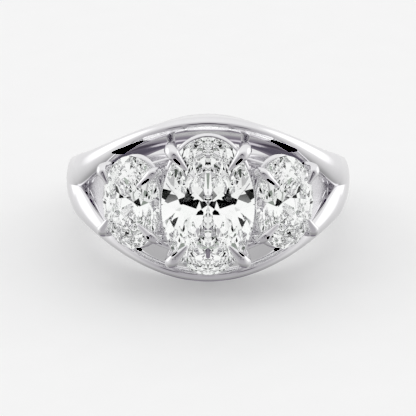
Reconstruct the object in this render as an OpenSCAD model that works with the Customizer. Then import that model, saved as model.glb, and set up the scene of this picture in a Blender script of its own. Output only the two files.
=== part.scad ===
// Three stone ring: an oval brilliant between two smaller ones, on a band that splits into two rails.
// Lengths are millimetres. The ring lies on its side, with the face of its head towards -Y.

/* [Band] */
// Inner diameter of the band, a finger of about US size 6.5
finger_d = 17; // [15.7:0.1:18.6]
// Thickness of the shank at the back
shank_t = 1.8; // [1.5:0.1:2.2]
// Width of the shank at the back
shank_w = 2; // [1.8:0.1:2.6]
// Angle from the middle of the head to the split
split_angle = 67.5; // [64:0.5:71]
// Thickness of the band at the split
split_t = 2.25; // [2.05:0.05:2.5]
// Width of the band at the split
split_w = 5; // [4.6:0.1:5.3]
// Rounding of the band's edges at the finger
edge_round = 0.3; // [0.15:0.05:0.45]

/* [Rails] */
// Height over both rails, along the finger
head_h = 12.2; // [11.8:0.1:13]
// Width of a rail at the middle of the head
rail_w = 1.05; // [0.9:0.05:1.3]
// Thickness of a rail at the middle of the head
rail_t = 2.6; // [2.3:0.1:2.9]
// Width of the flare at the foot of a rail's inner side
flare_w = 1; // [0.7:0.05:1.2]
// Height of the band's domed face over its sides
dome_h = 0.7; // [0.5:0.05:0.9]

/* [Stones] */
// Length of the center stone
center_l = 10; // [9.4:0.1:10.4]
// Width of the center stone
center_w = 6.7; // [6.2:0.1:7]
// Height of the center stone's girdle over the finger hole
center_rise = 5.1; // [4.8:0.1:5.5]
// Length of a side stone
side_l = 6.8; // [6.2:0.1:7.2]
// Width of a side stone
side_w = 5; // [4.6:0.1:5.3]
// Outward tilt of a side stone
side_tilt = 34; // [31:1:37]
// Gap between the girdles of the center stone and a side stone
stone_gap = 0.13; // [0.1:0.01:0.25]
// Drop from the center girdle to a side stone's nearest edge
side_drop = 0.35; // [0.3:0.05:0.45]

/* [Settings] */
// Diameter of a center claw at its head
claw_d = 0.95; // [0.8:0.05:1.05]
// Diameter of a side claw at its head
side_claw_d = 0.8; // [0.65:0.05:0.9]
// Diameter of a claw at its tip
tip_d = 0.2; // [0.15:0.05:0.3]
// Thickness of the gallery rail under a stone
gallery_d = 0.6; // [0.5:0.05:0.7]
// Thickness of the V under the outer end of a side stone
gusset_d = 0.5; // [0.4:0.05:0.6]
// Clearance between metal and stone
seat_gap = 0.05; // [0.03:0.01:0.1]

/* [Hidden] */

metal_color = "gainsboro";
stone_color = "aliceblue";
finger_r = finger_d / 2;

// The rail at equal angles from the middle of the head to the split
// Each number is the share of the head's size that is left over the split's
outer_shares = [1.00, 0.93, 0.79, 0.585, 0.35, 0.15, 0.00];
width_shares = [1.00, 0.99, 0.93, 0.82, 0.58, 0.28, 0.00];
thick_shares = [1.00, 0.97, 0.86, 0.66, 0.40, 0.16, 0.00];

function mix(a, b, t) = a + (b - a) * t;
function ease(t) = t * t * (3 - 2 * t);
function clamp(t) = max(0, min(1, t));
function power(x, e) = sign(x) * pow(abs(x), e);
function unit(v) = v / norm(v);

// Smooth value between the shares at an angle along the rail, flat at the middle of the head
function share(shares, angle) =
    let (
        last = len(shares) - 1,
        t = last * angle / split_angle,
        i = min(floor(t), last - 1),
        f = t - i,
        a = shares[abs(i - 1)],
        b = shares[i],
        c = shares[i + 1],
        d = i + 2 > last ? 2 * c - b : shares[i + 2]
    )
    b + 0.5 * f * (c - a + f * (2 * a - 5 * b + 4 * c - d + f * (3 * (b - c) + d - a)));

function back(angle) = (angle - split_angle) / (180 - split_angle);
function is_rail(angle) = angle < split_angle;

// The band at an angle from the middle of the head: outer edge, width of one half, and thickness
// The shank narrows quickly behind the split
TAPER = 3.6;
function outer_edge(angle) = is_rail(angle)
    ? mix(split_w, head_h, share(outer_shares, angle)) / 2
    : mix(shank_w, split_w, pow(1 - back(angle), TAPER)) / 2;
function half_width(angle) = is_rail(angle)
    ? mix(split_w / 2, rail_w, share(width_shares, angle))
    : outer_edge(angle);
function thickness(angle) = is_rail(angle)
    ? mix(split_t, rail_t, share(thick_shares, angle))
    : mix(split_t, shank_t, ease(back(angle)));
function inner_edge(angle) = outer_edge(angle) - half_width(angle);
function top_r(angle) = finger_r + thickness(angle);
// The inner edge where it meets the finger
function inner_foot(angle) = inner_edge(angle) * (1 - flare_w / inner_edge(0));

// A point of the ring from its angle, its radius and its height along the finger
function at(angle, r, h) = [r * sin(angle), -r * cos(angle), h];

// Half of the band's section as height and radius: up the inner wall, over the dome, down the outer wall
// Past the split the two domes merge into one over the merge angle
// Both ends and the rounding run on under the finger hole's wall, so that the hole cuts across them
DOME_STEPS = 10;
DOME_POWER = 0.92;
MERGE_ANGLE = 14;
EDGE_STEPS = 3;
EDGE_SINK = 0.1;
OVERRUN = 0.5;
function section(angle) =
    let (
        w = half_width(angle),
        lo = inner_edge(angle),
        shoulder = top_r(angle) - dome_h,
        merge = ease(clamp((angle - split_angle) / MERGE_ANGLE)),
        corner = finger_r + edge_round - EDGE_SINK,
        draft = (lo - inner_foot(angle)) / (shoulder - finger_r)
    )
    concat(
        [[inner_foot(angle) - draft * OVERRUN, finger_r - OVERRUN]],
        [for (i = [0:DOME_STEPS])
            let (
                t = i / DOME_STEPS,
                across = lo + w / 2 * (1 - power(cos(180 * t), DOME_POWER)),
                rail = [across, shoulder + dome_h * power(sin(180 * t), DOME_POWER)],
                over = shoulder + dome_h * power(cos(90 * t), DOME_POWER),
                shank = [w * power(sin(90 * t), DOME_POWER), over]
            )
            mix(rail, shank, merge)],
        [for (i = [0:EDGE_STEPS])
            let (turn = 90 * i / EDGE_STEPS)
            [lo + w - edge_round * (1 - cos(turn)), corner - edge_round * sin(turn)]],
        [[lo + w - edge_round, finger_r - OVERRUN]]
    );

// Stations round the band as signed angles, closer together along the rails
RAIL_STEPS = 14;
SHANK_STEPS = 11;
half_stations = concat(
    [for (i = [0:RAIL_STEPS - 1]) split_angle * i / RAIL_STEPS],
    [for (i = [0:SHANK_STEPS]) mix(split_angle, 180, i / SHANK_STEPS)]
);
stations = concat(
    [for (i = [0:len(half_stations) - 2]) half_stations[i]],
    [for (i = [len(half_stations) - 1:-1:1]) -half_stations[i]]
);

// Two triangles on four corners
function quad(a, b, c, d) = [[a, b, c], [a, c, d]];

// The shank and both rails, before the finger hole is cut
// The two halves share their wall on the middle plane of the shank, so it is left out
module band() {
    size = len(section(0));
    count = len(stations);
    function spot(half, station, j) = (half * count + station % count) * size + j % size;
    function whole(station) = !is_rail(abs(stations[station % count]));
    points = [
        for (half = [0, 1], angle = stations, p = section(abs(angle)))
            at(angle, p[1], half == 0 ? p[0] : -p[0])
    ];
    faces = [
        for (half = [0, 1], s = [0:count - 1], j = [0:size - 1])
            if (j > 0 || !whole(s) || !whole(s + 1))
                each half == 0
                    ? quad(spot(0, s, j), spot(0, s, j + 1), spot(0, s + 1, j + 1), spot(0, s + 1, j))
                    : quad(spot(1, s, j), spot(1, s + 1, j), spot(1, s + 1, j + 1), spot(1, s, j + 1))
    ];
    polyhedron(points, faces);
}

// Each stone: half width, half length, place of its girdle and outward tilt
function half_w(stone) = stone[0];
function half_l(stone) = stone[1];
function seat_x(stone) = stone[2];
function seat_r(stone) = stone[3];
function tilt(stone) = stone[4];
center_r = finger_r + center_rise;
center = [center_w / 2, center_l / 2, 0, center_r, 0];
side = [
    side_w / 2,
    side_l / 2,
    center_w / 2 + stone_gap + side_w / 2 * cos(side_tilt),
    center_r - side_drop - side_w / 2 * sin(side_tilt),
    side_tilt
];

// Shares of a stone's half width
CROWN = 0.3;
PAVILION = 0.86;
GIRDLE = 0.05;
// Shares of a stone's radius, for the table, the points of the star and the pavilion's long facets
TABLE = 0.57;
STAR = 0.78;
LOWER = 0.24;
MAINS = 8;
MAIN_ANGLE = 360 / MAINS;
GIRDLE_STEPS = 4;

// A point of a stone's own frame, outward along x, along the finger in y and up through the table in z
function seated(stone, p) = [
    seat_x(stone) + p.x * cos(tilt(stone)) + p.z * sin(tilt(stone)),
    -seat_r(stone) + p.x * sin(tilt(stone)) - p.z * cos(tilt(stone)),
    p.y
];
// The same point back in the stone's own frame
function unseated(stone, p) = let (x = p.x - seat_x(stone), out = -p.y - seat_r(stone)) [
    x * cos(tilt(stone)) - out * sin(tilt(stone)),
    p.z,
    x * sin(tilt(stone)) + out * cos(tilt(stone))
];

// A point on a stone's oval of a given share and angle
function oval(stone, radius, angle, z) =
    [half_w(stone) * radius * cos(angle), half_l(stone) * radius * sin(angle), z];
// How far an angle lies from the nearest main facet's middle
function off_main(angle) = abs(angle - MAIN_ANGLE * round(angle / MAIN_ANGLE));
// Height of a plane through three points, over a fourth
function plane_z(a, b, c, p) =
    let (n = cross(b - a, c - a))
    a.z - (n.x * (p.x - a.x) + n.y * (p.y - a.y)) / n.z;

// Heights on a stone over or under the girdle's middle
function table_z(stone) = half_w(stone) * (GIRDLE / 2 + CROWN);
function culet_z(stone) = -half_w(stone) * (GIRDLE / 2 + PAVILION);
function crown_z(stone, radius, angle) =
    half_w(stone) * (GIRDLE / 2 + CROWN * min(1, (1 - radius * cos(off_main(angle))) / (1 - TABLE)));
function pavilion_z(stone, radius, angle) =
    -half_w(stone) * (GIRDLE / 2 + PAVILION * (1 - radius * cos(off_main(angle))));

// An oval brilliant in its own frame
// Its facets are the table, the stars, the kites, the upper and lower girdle facets and the pavilion mains
module brilliant(stone) {
    half = MAIN_ANGLE / 2;
    rim = MAINS * 2 * GIRDLE_STEPS;
    rim_angle = 360 / rim;
    edge = half_w(stone) * GIRDLE / 2;
    function table_point(i) = oval(stone, TABLE, MAIN_ANGLE * i, table_z(stone));
    function star_point(i) = oval(stone, STAR, MAIN_ANGLE * i + half, crown_z(stone, STAR, half));
    function lower_point(i) = oval(stone, LOWER, MAIN_ANGLE * i + half, pavilion_z(stone, LOWER, half));
    // The girdle is scalloped, so that the facets over and under it stay flat
    function rim_point(i, inner, z) =
        let (
            angle = rim_angle * i,
            sector = floor(angle / half + 0.001),
            a = oval(stone, 1, half * sector, z),
            b = oval(stone, 1, half * (sector + 1), z),
            p = oval(stone, 1, angle, z)
        )
        [p.x, p.y, plane_z(inner, a, b, p)];
    function star_for(i) = star_point(floor(rim_angle * i / MAIN_ANGLE + 0.001));
    function lower_for(i) = lower_point(floor(rim_angle * i / MAIN_ANGLE + 0.001));
    points = concat(
        [for (i = [0:MAINS - 1]) table_point(i)],
        [for (i = [0:MAINS - 1]) star_point(i)],
        [for (i = [0:rim - 1]) rim_point(i, star_for(i), edge)],
        [for (i = [0:rim - 1]) rim_point(i, lower_for(i), -edge)],
        [for (i = [0:MAINS - 1]) lower_point(i)],
        [[0, 0, culet_z(stone)]]
    );
    function t(i) = (i + MAINS) % MAINS;
    function s(i) = MAINS + (i + MAINS) % MAINS;
    function u(i) = 2 * MAINS + (i + rim) % rim;
    function d(i) = 2 * MAINS + rim + (i + rim) % rim;
    function l(i) = 2 * MAINS + 2 * rim + (i + MAINS) % MAINS;
    culet = 3 * MAINS + 2 * rim;
    faces = concat(
        [[for (i = [MAINS - 1:-1:0]) t(i)]],
        [for (i = [0:MAINS - 1]) [t(i), t(i + 1), s(i)]],
        [for (i = [0:MAINS - 1]) [t(i), s(i), u(2 * GIRDLE_STEPS * i), s(i - 1)]],
        [for (i = [0:MAINS - 1], h = [0, 1])
            concat([s(i)], [for (j = [GIRDLE_STEPS:-1:0]) u(GIRDLE_STEPS * (2 * i + h) + j)])],
        [for (i = [0:rim - 1]) [u(i), u(i + 1), d(i + 1), d(i)]],
        [for (i = [0:MAINS - 1], h = [0, 1])
            concat([l(i)], [for (j = [0:GIRDLE_STEPS]) d(GIRDLE_STEPS * (2 * i + h) + j)])],
        [for (i = [0:MAINS - 1]) [culet, l(i - 1), d(2 * GIRDLE_STEPS * i), l(i)]]
    );
    polyhedron(points, faces);
}

// A stone at its seat on the ring
module in_seat(stone) {
    translate([seat_x(stone), -seat_r(stone), 0]) rotate([0, 0, tilt(stone)]) rotate([90, 0, 0]) children();
}

// A round wire through points, with a radius at each and its seam turned to one side
WIRE_SIDES = 12;
module wire(path, radii, seam, closed = false) {
    last = len(path) - 1;
    function heading(i) =
        closed ? unit(path[(i + 1) % (last + 1)] - path[(i + last) % (last + 1)])
        : i == 0 ? unit(path[1] - path[0])
        : i == last ? unit(path[last] - path[last - 1])
        : unit(unit(path[i + 1] - path[i]) + unit(path[i] - path[i - 1]));
    points = [
        for (i = [0:last])
            let (dir = heading(i), x = unit(seam - (seam * dir) * dir), y = cross(dir, x))
            for (k = [0:WIRE_SIDES - 1])
                let (turn = 360 * k / WIRE_SIDES)
                path[i] + radii[i] * (cos(turn) * x + sin(turn) * y)
    ];
    function spot(i, k) = (i % (last + 1)) * WIRE_SIDES + k % WIRE_SIDES;
    sides = [
        for (i = [0:closed ? last : last - 1], k = [0:WIRE_SIDES - 1])
            each quad(spot(i, k), spot(i + 1, k), spot(i + 1, k + 1), spot(i, k + 1))
    ];
    caps = closed ? [] : [
        [for (k = [0:WIRE_SIDES - 1]) spot(0, k)],
        [for (k = [WIRE_SIDES - 1:-1:0]) spot(last, k)]
    ];
    polyhedron(points, concat(sides, caps));
}

// Claws: angle of the head round the stone, angle and share of radius of the tip, and the head's radius
function head_angle(claw) = claw[0];
function tip_angle(claw) = claw[1];
function tip_share(claw) = claw[2];
function head_r(claw) = claw[3];
center_claw = [48, 51, 0.70, claw_d / 2];
outer_claw = [38, 31, 0.745, side_claw_d / 2];
inner_claw = [140, 139.6, 0.60, side_claw_d / 2];

// The gallery rail lies this share of a stone's half width under it, and follows this share of its oval
GALLERY_DROP = 0.33;
GALLERY_SHARE = 0.97;
function gallery_z(stone) = -GALLERY_DROP * half_w(stone);

// Middle of a claw's head, clear of the girdle
function claw_head(stone, claw, z) =
    let (
        a = head_angle(claw),
        out = unit([cos(a) / half_w(stone), sin(a) / half_l(stone), 0])
    )
    oval(stone, 1, a, z) + (head_r(claw) + seat_gap) * out;

// A claw: its leg from the points below, up past the girdle, bent over it and tapered to its tip
BEND_STEPS = 5;
BEND_ANGLE = 75;
BEND_SLACK = 1.08;
FINGER_STEPS = 3;
module claw(stone, claw, leg, leg_radii) {
    bend_r = head_r(claw) * BEND_SLACK;
    girdle_z = half_w(stone) * GIRDLE / 2 + seat_gap;
    head = claw_head(stone, claw, girdle_z);
    tip_r = tip_d / 2;
    over = crown_z(stone, tip_share(claw), tip_angle(claw)) + tip_r + seat_gap;
    tip = oval(stone, tip_share(claw), tip_angle(claw), over);
    inward = unit([tip.x - head.x, tip.y - head.y, 0]);
    bend = [
        for (i = [0:BEND_STEPS])
            let (turn = BEND_ANGLE * i / BEND_STEPS)
            head + bend_r * ((1 - cos(turn)) * inward + [0, 0, sin(turn)])
    ];
    start = bend[BEND_STEPS];
    path = concat(
        leg,
        [claw_head(stone, claw, gallery_z(stone))],
        bend,
        [for (i = [1:FINGER_STEPS]) mix(start, tip, i / FINGER_STEPS)]
    );
    radii = concat(
        leg_radii,
        [for (i = [-1:BEND_STEPS]) head_r(claw)],
        [for (i = [1:FINGER_STEPS]) mix(head_r(claw), tip_r, i / FINGER_STEPS)]
    );
    sideways = seated(stone, cross([0, 0, 1], inward)) - seated(stone, [0, 0, 0]);
    wire([for (p = path) seated(stone, p)], radii, sideways);
}

// The gallery rail under a stone
GALLERY_STEPS = 36;
module gallery(stone) {
    path = [
        for (i = [0:GALLERY_STEPS - 1])
            seated(stone, oval(stone, GALLERY_SHARE, 360 * i / GALLERY_STEPS, gallery_z(stone)))
    ];
    up = seated(stone, [0, 0, 1]) - seated(stone, [0, 0, 0]);
    wire(path, [for (p = path) gallery_d / 2], up, true);
}

// Where a center claw's leg is soldered into its rail
FOOT_RISE = 0.4;
FOOT_SHARE = 0.15;
function rail_foot(stone, claw) =
    let (
        head = seated(stone, claw_head(stone, claw, 0)),
        r = finger_r + FOOT_RISE * rail_t,
        angle = asin(head.x / r)
    )
    at(angle, r, inner_edge(angle) + FOOT_SHARE * half_width(angle));

// An inner side claw starts from the center stone's gallery, at this angle round it
ARM_ANGLE = 30;
// The V under a side stone's outer end grows out of the split, this far past it and over the finger hole
V_SINK = 2;
V_RISE = 1;
v_point = at(split_angle + V_SINK, finger_r + V_RISE, 0);

// The claws on one quarter of the head, all soldered to the rails and to each other
module quarter() {
    claw(center, center_claw, [unseated(center, rail_foot(center, center_claw))], [head_r(center_claw)]);
    claw(side, outer_claw, [unseated(side, v_point)], [gusset_d / 2]);
    claw(
        side,
        inner_claw,
        [unseated(side, seated(center, oval(center, GALLERY_SHARE, ARM_ANGLE, gallery_z(center))))],
        [head_r(inner_claw)]
    );
}

// The thin plate between the legs of the V
PLATE_SHARE = 0.6;
module gusset() {
    top = seated(side, claw_head(side, outer_claw, gallery_z(side)));
    bottom = [top.x, top.y, -top.z];
    through = unit(cross(top - v_point, bottom - v_point)) * gusset_d / 2 * PLATE_SHARE;
    corners = [v_point, top, bottom];
    points = concat([for (p = corners) p + through], [for (p = corners) p - through]);
    polyhedron(points, [[0, 2, 1], [3, 4, 5], [0, 1, 4, 3], [1, 2, 5, 4], [2, 0, 3, 5]]);
}

// How the ring rests: tipped until the lower rail's bulge and the back of the shank both touch the floor
function below(angle) = [for (p = section(angle)) if (p[1] >= finger_r) [p[1] * cos(angle), -p[0]]];
rest_tilt = min([
    for (q = below(180)) max([for (p = below(0)) atan2(q[1] - p[1], p[0] - q[0])])
]);
function tipped_z(p) = p[0] * sin(rest_tilt) + p[1] * cos(rest_tilt);
lift = -min([for (p = concat(below(0), below(180))) tipped_z(p)]);
table_r = center_r + table_z(center);
front_y = -table_r * cos(rest_tilt) - TABLE * center_l / 2 * sin(rest_tilt);
back_y = top_r(180) * cos(rest_tilt);
module at_rest() {
    translate([0, -(front_y + back_y) / 2, lift]) rotate([-rest_tilt, 0, 0]) children();
}

module band_with_settings() {
    color(metal_color) at_rest() {
        difference() {
            band();
            cylinder(h = 2 * head_h, r = finger_r, center = true, $fn = 180);
        }
        gallery(center);
        for (x = [0, 1]) mirror([x, 0, 0]) {
            gallery(side);
            gusset();
            for (z = [0, 1]) mirror([0, 0, z]) quarter();
        }
    }
}

module center_stone() {
    color(stone_color) at_rest() in_seat(center) brilliant(center);
}

module right_stone() {
    color(stone_color) at_rest() in_seat(side) brilliant(side);
}

module left_stone() {
    color(stone_color) at_rest() mirror([1, 0, 0]) in_seat(side) brilliant(side);
}

band_with_settings();
center_stone();
left_stone();
right_stone();
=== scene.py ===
import math

import bpy
import numpy as np
from mathutils import Matrix, Vector


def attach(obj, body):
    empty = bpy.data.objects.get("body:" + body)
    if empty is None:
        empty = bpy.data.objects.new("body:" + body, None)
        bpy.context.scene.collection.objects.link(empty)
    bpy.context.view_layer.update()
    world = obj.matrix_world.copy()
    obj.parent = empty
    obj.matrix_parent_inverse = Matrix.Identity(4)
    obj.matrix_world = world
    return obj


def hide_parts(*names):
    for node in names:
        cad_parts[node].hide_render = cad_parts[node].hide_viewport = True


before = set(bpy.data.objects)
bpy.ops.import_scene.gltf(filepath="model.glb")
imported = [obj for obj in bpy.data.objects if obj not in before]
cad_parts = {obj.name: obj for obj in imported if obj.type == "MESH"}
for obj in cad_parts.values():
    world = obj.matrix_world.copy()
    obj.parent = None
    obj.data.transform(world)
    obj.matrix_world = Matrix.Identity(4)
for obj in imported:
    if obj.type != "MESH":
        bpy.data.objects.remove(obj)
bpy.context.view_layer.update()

# ---- The band ----
# A band of white gold, cast in one piece: the shank goes round the back of the finger and splits on each side
# into an upper and a lower rail, which sweep round the stones. Its face is domed and its sides are straight.
# One bar is drawn out step by step round half the finger, trimmed on the middle plane and mirrored twice.
FINGER_R = 8.5
HEAD_H = 12.2
RAIL_W = 1.05
RAIL_T = 2.6
FLARE_W = 1.0
DOME_H = 0.7
DOME_STEPS = 14
EDGE_ROUND = 0.3
SPLIT_ANGLE = 67.5
SPLIT_W = 5.0
SPLIT_T = 2.25
SHANK_W = 2.0
SHANK_T = 1.8
MERGE_ANGLE = 14
TAPER = 3.6

# Steps round half the finger: along the rails, where the two bars merge, and along the shank
RAIL_STEPS = 54
MERGE_STEPS = 14
SHANK_STEPS = 50
ROUND_STEPS = 4
# Points nearer than this, in millimetres, are one point of the cast metal
WELD = 0.0005
NEAR = 0.001
BAND_CREASE = math.radians(38)

# Shares from the middle of the head to the split, at equal angles, as a smooth curve through them
share_angle = np.linspace(0, 1, 7)
outer_curve = np.polyfit(share_angle ** 2, [1.00, 0.93, 0.79, 0.585, 0.35, 0.15, 0.00], 4)
width_curve = np.polyfit(share_angle ** 2, [1.00, 0.99, 0.93, 0.82, 0.58, 0.28, 0.00], 4)
thick_curve = np.polyfit(share_angle ** 2, [1.00, 0.97, 0.86, 0.66, 0.40, 0.16, 0.00], 4)

# The ring lies on its side, tipped until the lower rail and the back of the shank both touch the floor
REST_TILT = math.radians(15.5072)
rest_place = Matrix.Translation((0, 0.00249548, 0.00355329))
resting = rest_place @ Matrix.Rotation(-REST_TILT, 4, "X") @ Matrix.Scale(0.001, 4)


def mix(a, b, t):
    return a + (b - a) * t


def ease(t):
    t = min(max(t, 0), 1)
    return t * t * (3 - 2 * t)


def bar_at(angle):
    """Outer edge, inner edge and thickness of the upper bar at an angle from the middle of the head."""
    if angle <= SPLIT_ANGLE:
        t = (angle / SPLIT_ANGLE) ** 2
        outer = mix(SPLIT_W, HEAD_H, np.polyval(outer_curve, t)) / 2
        width = mix(SPLIT_W / 2, RAIL_W, np.polyval(width_curve, t))
        return outer, outer - width, mix(SPLIT_T, RAIL_T, np.polyval(thick_curve, t))
    back = (angle - SPLIT_ANGLE) / (180 - SPLIT_ANGLE)
    outer = mix(SHANK_W, SPLIT_W, (1 - back) ** TAPER) / 2
    inner = -outer * ease((angle - SPLIT_ANGLE) / MERGE_ANGLE)
    return outer, inner, mix(SPLIT_T, SHANK_T, ease(back))


def turn_round_finger(degrees):
    bpy.ops.transform.rotate(value=-math.radians(degrees), orient_axis="Z", center_override=(0, 0, 0))


def select_points(piece, chosen):
    """Back in edit mode with only the points selected whose place passes the test."""
    bpy.ops.object.mode_set(mode="EDIT")
    bpy.ops.mesh.select_mode(type="VERT")
    bpy.ops.mesh.select_all(action="DESELECT")
    bpy.ops.object.mode_set(mode="OBJECT")
    for v in piece.data.vertices:
        v.select = bool(chosen(v.co))
    for e in piece.data.edges:
        e.select = all(piece.data.vertices[i].select for i in e.vertices)
    bpy.ops.object.mode_set(mode="EDIT")


def lay_down(piece):
    """From millimetres round the finger to metres on the floor, with the place kept in the mesh."""
    bpy.ops.object.select_all(action="DESELECT")
    piece.select_set(True)
    bpy.context.view_layer.objects.active = piece
    piece.matrix_world = resting @ piece.matrix_world
    bpy.ops.object.transform_apply(location=True, rotation=True, scale=True)


def apply_modifiers(piece):
    for name in [m.name for m in piece.modifiers]:
        bpy.ops.object.modifier_apply(modifier=name)


bpy.ops.object.select_all(action="DESELECT")
outer, inner, thick = bar_at(0)
bpy.ops.mesh.primitive_plane_add(size=1)
band = bpy.context.object
band.name = "band"
bpy.ops.object.mode_set(mode="EDIT")
bpy.ops.transform.rotate(value=math.radians(90), orient_axis="Y", center_override=(0, 0, 0))
bpy.ops.transform.resize(value=(1, thick, 2 * DOME_H), center_override=(0, 0, 0))
bpy.ops.transform.translate(value=(0, -FINGER_R - thick / 2, 0))
select_points(band, lambda p: p.y < -FINGER_R - thick / 2)
bpy.ops.mesh.bevel(offset=DOME_H * 0.999, segments=DOME_STEPS, profile=0.5, affect="VERTICES")
bpy.ops.mesh.select_all(action="SELECT")
bpy.ops.transform.resize(value=(1, 1, (outer - inner) / (2 * DOME_H)), center_override=(0, 0, 0))
bpy.ops.transform.translate(value=(0, 0, (outer + inner) / 2))
bpy.ops.mesh.delete(type="ONLY_FACE")
bpy.ops.mesh.select_mode(type="EDGE")
bpy.ops.mesh.select_all(action="SELECT")
stations = (
    [SPLIT_ANGLE * i / RAIL_STEPS for i in range(RAIL_STEPS)]
    + [SPLIT_ANGLE + MERGE_ANGLE * i / MERGE_STEPS for i in range(MERGE_STEPS)]
    + [mix(SPLIT_ANGLE + MERGE_ANGLE, 180, i / SHANK_STEPS) for i in range(SHANK_STEPS + 1)]
)
for before, angle in zip(stations, stations[1:]):
    old_outer, old_inner, old_thick = bar_at(before)
    outer, inner, thick = bar_at(angle)
    bpy.ops.mesh.extrude_edges_move()
    turn_round_finger(-before)
    bpy.ops.transform.resize(
        value=(1, thick / old_thick, (outer - inner) / (old_outer - old_inner)),
        center_override=(0, -FINGER_R, old_outer),
    )
    bpy.ops.transform.translate(value=(0, 0, outer - old_outer))
    turn_round_finger(angle)


def at_foot(p, edge):
    """True on the finger hole's wall at the bar's outer edge, 0, or inner edge, 1."""
    angle = math.degrees(math.atan2(p.x, -p.y))
    return math.hypot(p.x, p.y) < FINGER_R + NEAR and abs(p.z - bar_at(angle)[edge]) < NEAR


bpy.ops.object.mode_set(mode="OBJECT")
select_points(band, lambda p: at_foot(p, 1) and p.z > -NEAR)
bpy.ops.transform.resize(value=(1, 1, 1 - FLARE_W / bar_at(0)[1]), center_override=(0, 0, 0))
select_points(band, lambda p: at_foot(p, 0))
bpy.ops.mesh.bevel(offset=EDGE_ROUND, segments=ROUND_STEPS, profile=0.5, affect="EDGES")
bpy.ops.mesh.select_all(action="SELECT")
bpy.ops.mesh.bisect(
    plane_co=(0, 0, 0), plane_no=(0, 0, 1), clear_inner=True, use_fill=False, threshold=0.0001
)
bpy.ops.object.mode_set(mode="OBJECT")
mirror = band.modifiers.new("mirror", "MIRROR")
mirror.use_axis = (True, False, True)
mirror.merge_threshold = WELD
apply_modifiers(band)
bpy.ops.object.mode_set(mode="EDIT")
bpy.ops.mesh.select_all(action="SELECT")
bpy.ops.mesh.remove_doubles(threshold=WELD)
bpy.ops.mesh.dissolve_degenerate(threshold=WELD)
bpy.ops.mesh.normals_make_consistent(inside=False)
bpy.ops.object.mode_set(mode="OBJECT")
bpy.ops.object.shade_smooth_by_angle(angle=BAND_CREASE)
lay_down(band)


def new_finish(name):
    finish = bpy.data.materials.new(name)
    finish.use_nodes = True
    return finish, finish.node_tree.nodes["Principled BSDF"]


def grain(finish, size, detail, stretch=(1, 1, 1)):
    """Soft spots of about this size in millimetres all over a piece, as a grey level from 0 to 1."""
    nodes, links = finish.node_tree.nodes, finish.node_tree.links
    place = nodes.new("ShaderNodeMapping")
    place.inputs["Scale"].default_value = stretch
    links.new(nodes.new("ShaderNodeTexCoord").outputs["Object"], place.inputs["Vector"])
    spots = nodes.new("ShaderNodeTexNoise")
    spots.inputs["Scale"].default_value = 1000 / size
    spots.inputs["Detail"].default_value = detail
    links.new(place.outputs["Vector"], spots.inputs["Vector"])
    return spots.outputs["Fac"]


def grade(finish, level, socket, low, high):
    """Spread a grey level between two values of a shader's socket, colours or numbers."""
    nodes, links = finish.node_tree.nodes, finish.node_tree.links
    if isinstance(low, tuple):
        ramp = nodes.new("ShaderNodeValToRGB")
        for stop, place, colour in zip(ramp.color_ramp.elements, (0.35, 0.65), (low, high)):
            stop.position = place
            stop.color = (*colour, 1)
        links.new(level, ramp.inputs["Fac"])
        links.new(ramp.outputs["Color"], socket)
    else:
        spread = nodes.new("ShaderNodeMapRange")
        spread.inputs["From Min"].default_value = 0.35
        spread.inputs["From Max"].default_value = 0.65
        spread.inputs["To Min"].default_value = low
        spread.inputs["To Max"].default_value = high
        links.new(level, spread.inputs["Value"])
        links.new(spread.outputs["Result"], socket)


def ripple(finish, shader, level, height):
    """Relief of a surface, its height in millimetres."""
    bump = finish.node_tree.nodes.new("ShaderNodeBump")
    bump.inputs["Distance"].default_value = height / 1000
    finish.node_tree.links.new(level, bump.inputs["Height"])
    finish.node_tree.links.new(bump.outputs["Normal"], shader.inputs["Normal"])


# White gold under rhodium, polished on a wheel: the metal darkens a little in drifts, is duller where the
# wheel dragged round the finger, and keeps the faint waves of hand polishing.
metal, shader = new_finish("polished_white_gold")
shader.inputs["Metallic"].default_value = 1
grade(metal, grain(metal, 2.5, 3), shader.inputs["Base Color"], (0.82, 0.812, 0.83), (0.865, 0.86, 0.872))
grade(metal, grain(metal, 0.5, 5, (1, 1, 6)), shader.inputs["Roughness"], 0.03, 0.08)
ripple(metal, shader, grain(metal, 0.9, 2, (1, 1, 2)), 0.0016)

# Where no wheel reaches, inside the split, the metal keeps the satin face of fine emery.
satin, shader = new_finish("satin_white_gold")
shader.inputs["Metallic"].default_value = 1
grade(satin, grain(satin, 1.5, 3), shader.inputs["Base Color"], (0.83, 0.82, 0.845), (0.87, 0.86, 0.88))
grade(satin, grain(satin, 0.3, 5, (1, 1, 8)), shader.inputs["Roughness"], 0.3, 0.42)
ripple(satin, shader, grain(satin, 0.12, 4, (1, 1, 8)), 0.002)
band.data.materials.append(metal)
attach(band, "root")
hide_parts("band_with_settings")

# ---- The baskets ----
# Under each stone runs an oval gallery rail of round wire, and four claws of tapered wire stand on it, soldered
# to the rails and to each other. Each claw's head is bent over the stone's girdle and filed to a point. A flat
# plate with a satin face fills each V under the outer end of a side stone.
CROWN = 0.3
GIRDLE = 0.05
TABLE = 0.57
GALLERY_D = 0.6
GALLERY_DROP = 0.33
GALLERY_SHARE = 0.97
SIDE_GALLERY_SHARE = 0.93
GALLERY_KNOTS = 24
SEAT_GAP = 0.05
TIP_D = 0.2
GUSSET_D = 0.5
PLATE_SHARE = 0.6
BEND_SLACK = 1.08
BEND_STOPS = (25, 50, 75)
WIRE_CREASE = math.radians(50)
WIRE_WELD = 0.0002

CENTER_RISE = 5.1
CENTER_HALF_W = 3.35
CENTER_HALF_L = 5.0
SIDE_HALF_W = 2.5
SIDE_HALF_L = 3.4
SIDE_TILT = 34
STONE_GAP = 0.13
SIDE_DROP = 0.35
center_r = FINGER_R + CENTER_RISE
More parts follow.
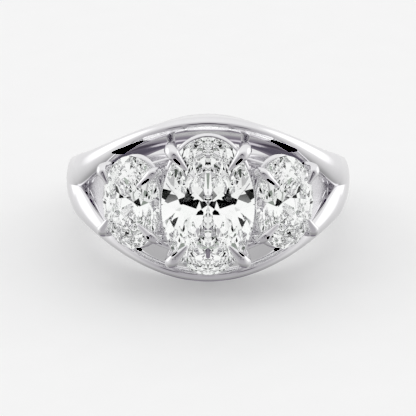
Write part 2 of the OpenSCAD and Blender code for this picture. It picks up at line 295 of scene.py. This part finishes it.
# Half width, half length, place of the girdle and outward tilt
center = (CENTER_HALF_W, CENTER_HALF_L, 0.0, center_r, 0)
side = (
    SIDE_HALF_W,
    SIDE_HALF_L,
    CENTER_HALF_W + STONE_GAP + SIDE_HALF_W * math.cos(math.radians(SIDE_TILT)),
    center_r - SIDE_DROP - SIDE_HALF_W * math.sin(math.radians(SIDE_TILT)),
    SIDE_TILT,
)


def seated(stone, p):
    """A point of a stone's frame: outward along x, along the finger in y, and up through the table in z."""
    turn = math.radians(stone[4])
    return Vector((
        stone[2] + p.x * math.cos(turn) + p.z * math.sin(turn),
        -stone[3] + p.x * math.sin(turn) - p.z * math.cos(turn),
        p.y,
    ))


def on_oval(stone, share, degrees, z):
    turn = math.radians(degrees)
    return Vector((stone[0] * share * math.cos(turn), stone[1] * share * math.sin(turn), z))


def crown_z(stone, share, degrees):
    """Height of the crown over the girdle's middle, at a share of the oval's radius and an angle round it."""
    off = degrees - 45 * round(degrees / 45)
    rise = (1 - share * math.cos(math.radians(off))) / (1 - TABLE)
    return stone[0] * (GIRDLE / 2 + CROWN * min(1, rise))


def bend_wire(name, path, radii, closed=False):
    """Round wire through points given in millimetres, with a radius at each."""
    bpy.ops.object.select_all(action="DESELECT")
    bpy.ops.curve.primitive_bezier_curve_add(location=(0, 0, 0))
    wire = bpy.context.object
    wire.name = name
    spline = wire.data.splines[0]
    spline.bezier_points.add(len(path) - 2)
    spline.use_cyclic_u = closed
    spline.resolution_u = 4
    for knot, p, r in zip(spline.bezier_points, path, radii):
        knot.co = p
        knot.radius = r
        knot.handle_left_type = "AUTO"
        knot.handle_right_type = "AUTO"
    wire.data.bevel_depth = 1
    wire.data.bevel_resolution = 6
    wire.data.use_fill_caps = not closed
    bpy.ops.object.convert(target="MESH")
    return bpy.context.object


def claw_head(stone, claw, z):
    turn = math.radians(claw[0])
    out = Vector((math.cos(turn) / stone[0], math.sin(turn) / stone[1], 0)).normalized()
    return on_oval(stone, 1, claw[0], z) + (claw[3] + SEAT_GAP) * out


def make_claw(stone, claw, legs, leg_radii):
    """One claw of tapered wire; legs lists the points under its head, and leg_radii their radii."""
    head = claw_head(stone, claw, stone[0] * GIRDLE / 2 + SEAT_GAP)
    tip = on_oval(stone, claw[2], claw[1], crown_z(stone, claw[2], claw[1]) + TIP_D / 2 + SEAT_GAP)
    inward = Vector((tip.x - head.x, tip.y - head.y, 0)).normalized()
    bend_r = claw[3] * BEND_SLACK
    path = [seated(stone, claw_head(stone, claw, -GALLERY_DROP * stone[0])), seated(stone, head)]
    for degrees in BEND_STOPS:
        turn = math.radians(degrees)
        bent = head + bend_r * ((1 - math.cos(turn)) * inward + Vector((0, 0, math.sin(turn))))
        path.append(seated(stone, bent))
    radii = [claw[3]] * len(path)
    # The finger tapers to its tip, and its end is filed round
    for t, r in (
        (0.3, mix(claw[3], TIP_D / 2, 0.3)),
        (0.6, mix(claw[3], TIP_D / 2, 0.6)),
        (0.9, mix(claw[3], TIP_D / 2, 0.9)),
        (0.97, 0.8 * TIP_D / 2),
        (1.0, 0.4 * TIP_D / 2),
    ):
        path.append(seated(stone, bent.lerp(tip, t)))
        radii.append(r)
    return bend_wire("claw", legs + path, leg_radii + radii)


def make_gallery(stone, share):
    """The oval rail of wire under a stone, following a share of its oval."""
    ring = [
        seated(stone, on_oval(stone, share, 360 * i / GALLERY_KNOTS, -GALLERY_DROP * stone[0]))
        for i in range(GALLERY_KNOTS)
    ]
    return bend_wire("gallery", ring, [GALLERY_D / 2] * GALLERY_KNOTS, closed=True)


def mirrored(piece, axes):
    """Both or all four of a piece, mirrored over the middle planes of the head."""
    copies = []
    for x in (1, -1) if "X" in axes else (1,):
        for z in (1, -1) if "Z" in axes else (1,):
            if x == 1 and z == 1:
                continue
            bpy.ops.object.select_all(action="DESELECT")
            piece.select_set(True)
            bpy.context.view_layer.objects.active = piece
            bpy.ops.object.duplicate()
            copy = bpy.context.object
            copy.scale = (x, 1, z)
            bpy.ops.object.transform_apply(location=True, rotation=True, scale=True)
            copies.append(copy)
    return [piece] + copies


def join_as(name, parts, finish=metal):
    """Solder parts into one named piece, lay it down with the ring and give it its finish."""
    bpy.ops.object.select_all(action="DESELECT")
    for p in parts:
        p.select_set(True)
    bpy.context.view_layer.objects.active = parts[0]
    if len(parts) > 1:
        bpy.ops.object.join()
    whole = bpy.context.object
    whole.name = name
    bpy.ops.object.mode_set(mode="EDIT")
    bpy.ops.mesh.select_all(action="SELECT")
    bpy.ops.mesh.remove_doubles(threshold=WIRE_WELD)
    bpy.ops.mesh.normals_make_consistent(inside=False)
    bpy.ops.object.mode_set(mode="OBJECT")
    bpy.ops.object.shade_smooth_by_angle(angle=WIRE_CREASE)
    lay_down(whole)
    whole.data.materials.clear()
    whole.data.materials.append(finish)
    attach(whole, "root")
    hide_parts("band_with_settings")


# Claws: angle of the head round the stone, angle and share of radius of the tip, and the head's radius
CENTER_CLAW = (48, 51, 0.70, 0.475)
# A center claw's foot: over the finger hole's wall, in from the rail's flared side, and its radius
FOOT_RISE = 0.4
FOOT_IN = 0.25
FOOT_R = 0.3
foot_r = FINGER_R + FOOT_RISE
foot_angle = math.asin(seated(center, claw_head(center, CENTER_CLAW, 0)).x / foot_r)
foot_inner = bar_at(math.degrees(foot_angle))[1] * (1 - FLARE_W / bar_at(0)[1])
foot = Vector((foot_r * math.sin(foot_angle), -foot_r * math.cos(foot_angle), foot_inner + FOOT_IN))
center_claw = make_claw(center, CENTER_CLAW, [foot], [FOOT_R])
join_as("center_basket", mirrored(center_claw, "XZ") + [make_gallery(center, GALLERY_SHARE)])

# A side basket: two claws and a V stand out of the split, two more grow from the center gallery,
# and a thin bar above and below ties the two galleries together
OUTER_CLAW = (38, 31, 0.745, 0.4)
INNER_CLAW = (140, 139.6, 0.60, 0.4)
V_SINK = 2
V_RISE = 1.0
ARM_ANGLE = 30
BAR_R = 0.2
BAR_SIDE_ANGLE = 120
BAR_CENTER_ANGLE = 44
v_angle = math.radians(SPLIT_ANGLE + V_SINK)
v_point = (FINGER_R + V_RISE) * Vector((math.sin(v_angle), -math.cos(v_angle), 0))
arm = seated(center, on_oval(center, GALLERY_SHARE, ARM_ANGLE, -GALLERY_DROP * center[0]))
outer_claw = make_claw(side, OUTER_CLAW, [v_point], [GUSSET_D / 2])
inner_claw = make_claw(side, INNER_CLAW, [arm], [INNER_CLAW[3]])
bar = bend_wire(
    "bar",
    [
        seated(side, on_oval(side, SIDE_GALLERY_SHARE, BAR_SIDE_ANGLE, -GALLERY_DROP * side[0])),
        seated(center, on_oval(center, GALLERY_SHARE, BAR_CENTER_ANGLE, -GALLERY_DROP * center[0])),
    ],
    [BAR_R, BAR_R],
)
for name, x in (("right_basket", 1), ("left_basket", -1)):
    parts = []
    for original in (outer_claw, inner_claw, bar):
        bpy.ops.object.select_all(action="DESELECT")
        original.select_set(True)
        bpy.context.view_layer.objects.active = original
        bpy.ops.object.duplicate()
        parts += mirrored(bpy.context.object, "Z")
    parts.append(make_gallery(side, SIDE_GALLERY_SHARE))
    top = seated(side, claw_head(side, OUTER_CLAW, -GALLERY_DROP * side[0]))
    bpy.ops.object.select_all(action="DESELECT")
    bpy.ops.mesh.primitive_plane_add(size=2 * top.z)
    plate = bpy.context.object
    bpy.ops.object.mode_set(mode="EDIT")
    bpy.ops.transform.rotate(value=math.radians(90), orient_axis="Y", center_override=(0, 0, 0))
    bpy.ops.object.mode_set(mode="OBJECT")
    for v in plate.data.vertices:
        v.co = Vector((top.x, top.y, v.co.z)) if v.co.y > 0 else v_point
    solid = plate.modifiers.new("thickness", "SOLIDIFY")
    solid.thickness = GUSSET_D * PLATE_SHARE
    solid.offset = 0
    apply_modifiers(plate)
    bpy.ops.object.select_all(action="DESELECT")
    for p in parts + [plate]:
        p.select_set(True)
        p.scale.x = x
    bpy.context.view_layer.objects.active = parts[0]
    bpy.ops.object.transform_apply(location=True, rotation=True, scale=True)
    join_as(name, parts)
    join_as(name.replace("basket", "plate"), [plate], satin)
bpy.data.objects.remove(outer_claw)
bpy.data.objects.remove(inner_claw)
bpy.data.objects.remove(bar)

# ---- The stones ----
# Colourless diamonds, cut as oval brilliants and polished: they are faintly green where the light runs long
# in them, and the facets are a little less sharp in spots. Their surface reflects less than a real diamond's,
# which keeps the dark facets black, as in the photograph.
stone, shader = new_finish("cut_diamond")
shader.inputs["IOR"].default_value = 2.42
shader.inputs["Transmission Weight"].default_value = 1
shader.inputs["Specular Tint"].default_value = (0.15, 0.15, 0.15, 1)
grade(stone, grain(stone, 1.2, 2), shader.inputs["Base Color"], (0.965, 0.985, 0.965), (1.0, 1.0, 1.0))
grade(stone, grain(stone, 0.6, 3), shader.inputs["Roughness"], 0.0, 0.006)
for name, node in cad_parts.items():
    node.material_slots[0].material = metal if name == "band_with_settings" else stone

# ---- The floor ----
# A plain board under the ring, painted matt pale grey. It glows a little, so that shadows on it stay light,
# and the metal and the stones don't reflect it.
bpy.ops.object.select_all(action="DESELECT")
bpy.ops.mesh.primitive_plane_add(size=1.5)
floor = bpy.context.object
floor.name = "floor"
floor_paint, shader = new_finish("matt_floor_paint")
shader.inputs["Specular IOR Level"].default_value = 0
shader.inputs["Emission Color"].default_value = (0.27, 0.27, 0.27, 1)
shader.inputs["Emission Strength"].default_value = 1
grade(floor_paint, grain(floor_paint, 3, 3), shader.inputs["Base Color"], (0.627,) * 3, (0.633,) * 3)
grade(floor_paint, grain(floor_paint, 0.4, 4), shader.inputs["Roughness"], 0.85, 1.0)
floor.data.materials.append(floor_paint)

# ---- Small cards ----
# Small oval cards stand close round the stones: black and grey ones, and white ones over the upper rail. Each
# is an area light that only polished metal sees. A dark card's power is negative, so it takes away from the
# white tent behind it, as a black card would cover it. They are placed for the camera's view.
BLACK = 0.85
GREY = 0.3
WHITE = -0.4
CLAW_CARD = 0.65


def stand_card(name, place, facing, along, long, wide, darkness):
    """An oval card in the ring's own millimetres, with its face turned one way and its length another."""
    z = -(resting.to_3x3() @ Vector(facing)).normalized()
    x = resting.to_3x3() @ Vector(along)
    x = (x - x.dot(z) * z).normalized()
    bpy.ops.object.light_add(type="AREA", location=resting @ Vector(place))
    lamp = bpy.context.object
    lamp.name = name
    lamp.rotation_euler = Matrix((x, z.cross(x), z)).transposed().to_euler()
    lamp.data.shape = "ELLIPSE"
    lamp.data.size = long / 1000
    lamp.data.size_y = wide / 1000
    lamp.data.energy = -darkness * math.pi * long * wide / 1e6
    lamp.visible_camera = False
    lamp.visible_diffuse = False
    lamp.visible_transmission = False
    lamp.data.use_shadow = False


def by_rail(name, start, end, rail, low, high, gap, darkness):
    """Beside a rail's inner shoulder, between two angles; rail is 1 above and -1 below."""
    middle = (start + end) / 2
    _, inner, thick = bar_at(abs(middle))
    r = FINGER_R + thick - DOME_H + (low + high) / 2
    turn = math.radians(middle)
    place = (r * math.sin(turn), -r * math.cos(turn), rail * (inner - gap))
    before = bar_at(abs(start))[1]
    after = bar_at(abs(end))[1]
    long = math.radians(end - start) * r
    along = (long * math.cos(turn), long * math.sin(turn), rail * (after - before))
    stand_card(name, place, (0, 0, rail), along, long, high - low, darkness)


by_rail("upper_left_card", -40.5, -26.5, 1, 0.2, 1.1, 0.2, BLACK)
by_rail("upper_right_card", 25.5, 37, 1, 0.2, 1.0, 0.2, BLACK)
by_rail("lower_left_card", -33, -27, -1, -0.3, 0.5, 0.2, BLACK)
by_rail("lower_right_card", 27, 33, -1, -0.3, 0.5, 0.2, BLACK)
by_rail("left_grey_card", -34, -6, -1, -3.2, 0.1, 0.9, GREY)
by_rail("right_grey_card", 6, 34, -1, -3.2, 0.1, 0.9, GREY)
by_rail("left_crotch_card", -60, -40, -1, -1.2, 1.2, 1.7, GREY)
by_rail("right_crotch_card", 40, 60, -1, -1.2, 1.2, 1.7, GREY)
for name, middle in (("left", -17), ("middle", 0), ("right", 17)):
    by_rail("upper_" + name + "_white_card", middle - 9, middle + 9, 1, 0.1, 1.4, 0.3, WHITE)
# One millimetre off each claw's finger: a point on the right finger and the way out from it
for name, x in (("right", 1), ("left", -1)):
    for piece, place, out in (
        ("claw", (2.22, -14.29, 3.54), (0.256, -0.788, -0.559)),
        ("low_claw", (2.22, -14.29, -3.54), (0.684, -0.308, 0.661)),
        ("side_claw", (4.4, -13.4, 2.0), (0.215, -0.532, -0.819)),
        ("low_side_claw", (4.4, -13.4, -2.0), (0.51, -0.61, -0.6)),
    ):
        out = Vector((out[0] * x, out[1], out[2])).normalized()
        place = Vector((place[0] * x, place[1], place[2])) + out
        card_name = name + "_" + piece + "_card"
        stand_card(card_name, place, -out, out.orthogonal(), CLAW_CARD, CLAW_CARD, BLACK)

# ---- The light ----
# A white tent with a bright softbox on each side, dimmer towards the camera, where a dark patch is the lens,
# and dimmer below. The stones sparkle against a brighter tent with black and grey cards. The floor has its own
# sky, dim with three bright softboxes.
FLOOR_SKY = 0.45
FLOOR_SOFTBOX = (1.62,) * 3
NO_LIGHT = (0.0, 0.0, 0.0)
PATHS = 48
GLOSSY_PATHS = 32
BLACK_LEVEL = 0.03
world = bpy.data.worlds.new("studio")
world.use_nodes = True
sky = world.node_tree
direction = sky.nodes.new("ShaderNodeTexCoord").outputs["Generated"]


def tent(levels):
    """Grey levels of the tent by height, from -1 straight down to 1 straight up."""
    height = sky.nodes.new("ShaderNodeSeparateXYZ")
    sky.links.new(direction, height.inputs[0])
    share = sky.nodes.new("ShaderNodeMapRange")
    share.inputs["From Min"].default_value = -1
    sky.links.new(height.outputs["Z"], share.inputs["Value"])
    ramp = sky.nodes.new("ShaderNodeValToRGB")
    while len(ramp.color_ramp.elements) < len(levels):
        ramp.color_ramp.elements.new(0.5)
    for stop, (z, level) in zip(ramp.color_ramp.elements, levels):
        stop.position = z / 2 + 0.5
        stop.color = (level, level, level, 1)
    sky.links.new(share.outputs[0], ramp.inputs["Fac"])
    return ramp.outputs["Color"]


def card(under, azimuth, elevation, radius, soft, colour):
    """A round card or softbox on the tent, in degrees; azimuth 0 is the camera's side and 90 the right."""
    a, e = math.radians(azimuth), math.radians(elevation)
    dot = sky.nodes.new("ShaderNodeVectorMath")
    dot.operation = "DOT_PRODUCT"
    dot.inputs[1].default_value = (math.sin(a) * math.cos(e), -math.cos(a) * math.cos(e), math.sin(e))
    sky.links.new(direction, dot.inputs[0])
    patch = sky.nodes.new("ShaderNodeMapRange")
    patch.interpolation_type = "SMOOTHSTEP"
    patch.inputs["From Min"].default_value = math.cos(math.radians(radius + soft / 2))
    patch.inputs["From Max"].default_value = math.cos(math.radians(radius - soft / 2))
    sky.links.new(dot.outputs["Value"], patch.inputs["Value"])
    over = sky.nodes.new("ShaderNodeMix")
    over.data_type = "RGBA"
    over.inputs["B"].default_value = (*colour, 1)
    sky.links.new(patch.outputs[0], over.inputs["Factor"])
    sky.links.new(under, over.inputs["A"])
    return over.outputs["Result"]


def pick(ray, yes, no):
    """One look of the tent for rays of a kind, and another for the rest."""
    path = sky.nodes.new("ShaderNodeLightPath")
    choice = sky.nodes.new("ShaderNodeMix")
    choice.data_type = "RGBA"
    sky.links.new(path.outputs[ray], choice.inputs["Factor"])
    sky.links.new(no, choice.inputs["A"])
    sky.links.new(yes, choice.inputs["B"])
    return choice.outputs["Result"]


around_metal = tent([(-1, 0.36), (-0.85, 0.42), (-0.6, 0.66), (-0.25, 0.88), (0.5, 0.92), (1, 0.98)])
around_metal = card(around_metal, 0, 0, 58, 56, (0.50, 0.49, 0.51))
around_metal = card(around_metal, 0, 8, 6, 4, (0.16, 0.15, 0.17))
around_metal = card(around_metal, 0, 38, 10, 5, (0.09, 0.08, 0.10))
around_metal = card(around_metal, 180, -66, 18, 10, (0.26, 0.24, 0.28))
for side_of_tent in (1, -1):
    around_metal = card(around_metal, 15 * side_of_tent, 31, 8, 4, (0.10, 0.09, 0.11))
    around_metal = card(around_metal, 30 * side_of_tent, 14, 7, 5, (0.16, 0.15, 0.17))
    around_metal = card(around_metal, 110 * side_of_tent, 14, 26, 16, (1.3, 1.3, 1.3))
    around_metal = card(around_metal, 164 * side_of_tent, -59, 4, 3, (0.13, 0.12, 0.15))
    around_metal = card(around_metal, 172 * side_of_tent, -57, 2, 1, (0.75, 0.72, 0.77))
    around_metal = card(around_metal, 168 * side_of_tent, -53, 2, 1, (0.10, 0.09, 0.11))

around_stones = tent([(-1, 0.78), (-0.5, 0.9), (0, 0.96), (1, 1.0)])
for side_of_tent in (1, -1):
    around_stones = card(around_stones, 36 * side_of_tent, -6, 13, 1, NO_LIGHT)
    around_stones = card(around_stones, 14 * side_of_tent, 1, 6.5, 1, NO_LIGHT)
    around_stones = card(around_stones, 95 * side_of_tent, 30, 18, 6, (0.03, 0.04, 0.03))
    around_stones = card(around_stones, 60 * side_of_tent, -45, 14, 4, (0.12, 0.14, 0.12))
    around_stones = card(around_stones, 140 * side_of_tent, 10, 22, 6, (0.42, 0.46, 0.42))
    around_stones = card(around_stones, 120 * side_of_tent, -35, 14, 6, (0.26, 0.29, 0.26))
around_stones = card(around_stones, 0, 60, 12, 2, NO_LIGHT)
around_stones = card(around_stones, 180, -20, 22, 6, (0.3, 0.33, 0.3))
around_stones = card(around_stones, 0, -45, 8, 2, NO_LIGHT)
over_floor = tent([(-1, FLOOR_SKY), (1, FLOOR_SKY)])
over_floor = card(over_floor, 180, 60, 30, 20, FLOOR_SOFTBOX)
over_floor = card(over_floor, 95, 35, 28, 20, FLOOR_SOFTBOX)
over_floor = card(over_floor, -95, 35, 28, 20, FLOOR_SOFTBOX)
seen = pick("Is Transmission Ray", around_stones, around_metal)
seen = pick("Is Diffuse Ray", over_floor, seen)
sky.links.new(seen, sky.nodes["Background"].inputs["Color"])
bpy.context.scene.world = world
floor.visible_glossy = False
floor.visible_transmission = False
view = bpy.context.scene.view_settings
view.view_transform = "Standard"
view.use_curve_mapping = True
view.curve_mapping.black_level = (BLACK_LEVEL,) * 3
view.curve_mapping.update()
bpy.context.scene.cycles.max_bounces = PATHS
bpy.context.scene.cycles.transmission_bounces = PATHS
bpy.context.scene.cycles.glossy_bounces = GLOSSY_PATHS

# ---- The camera ----
# It looks down on the face of the head from a quarter of a metre, through a long lens.
DISTANCE = 0.25
FIELD = math.radians(7.05)
elevation = math.radians(24.4)
aim = Vector((0, -3.79, 3.95)) / 1000
away = Vector((0, -math.cos(elevation), math.sin(elevation)))
bpy.ops.object.camera_add(location=aim + away * DISTANCE, rotation=(math.pi / 2 - elevation, 0, 0))
camera = bpy.context.object
camera.data.angle = FIELD
camera.data.clip_start = 0.01
bpy.context.scene.camera = camera
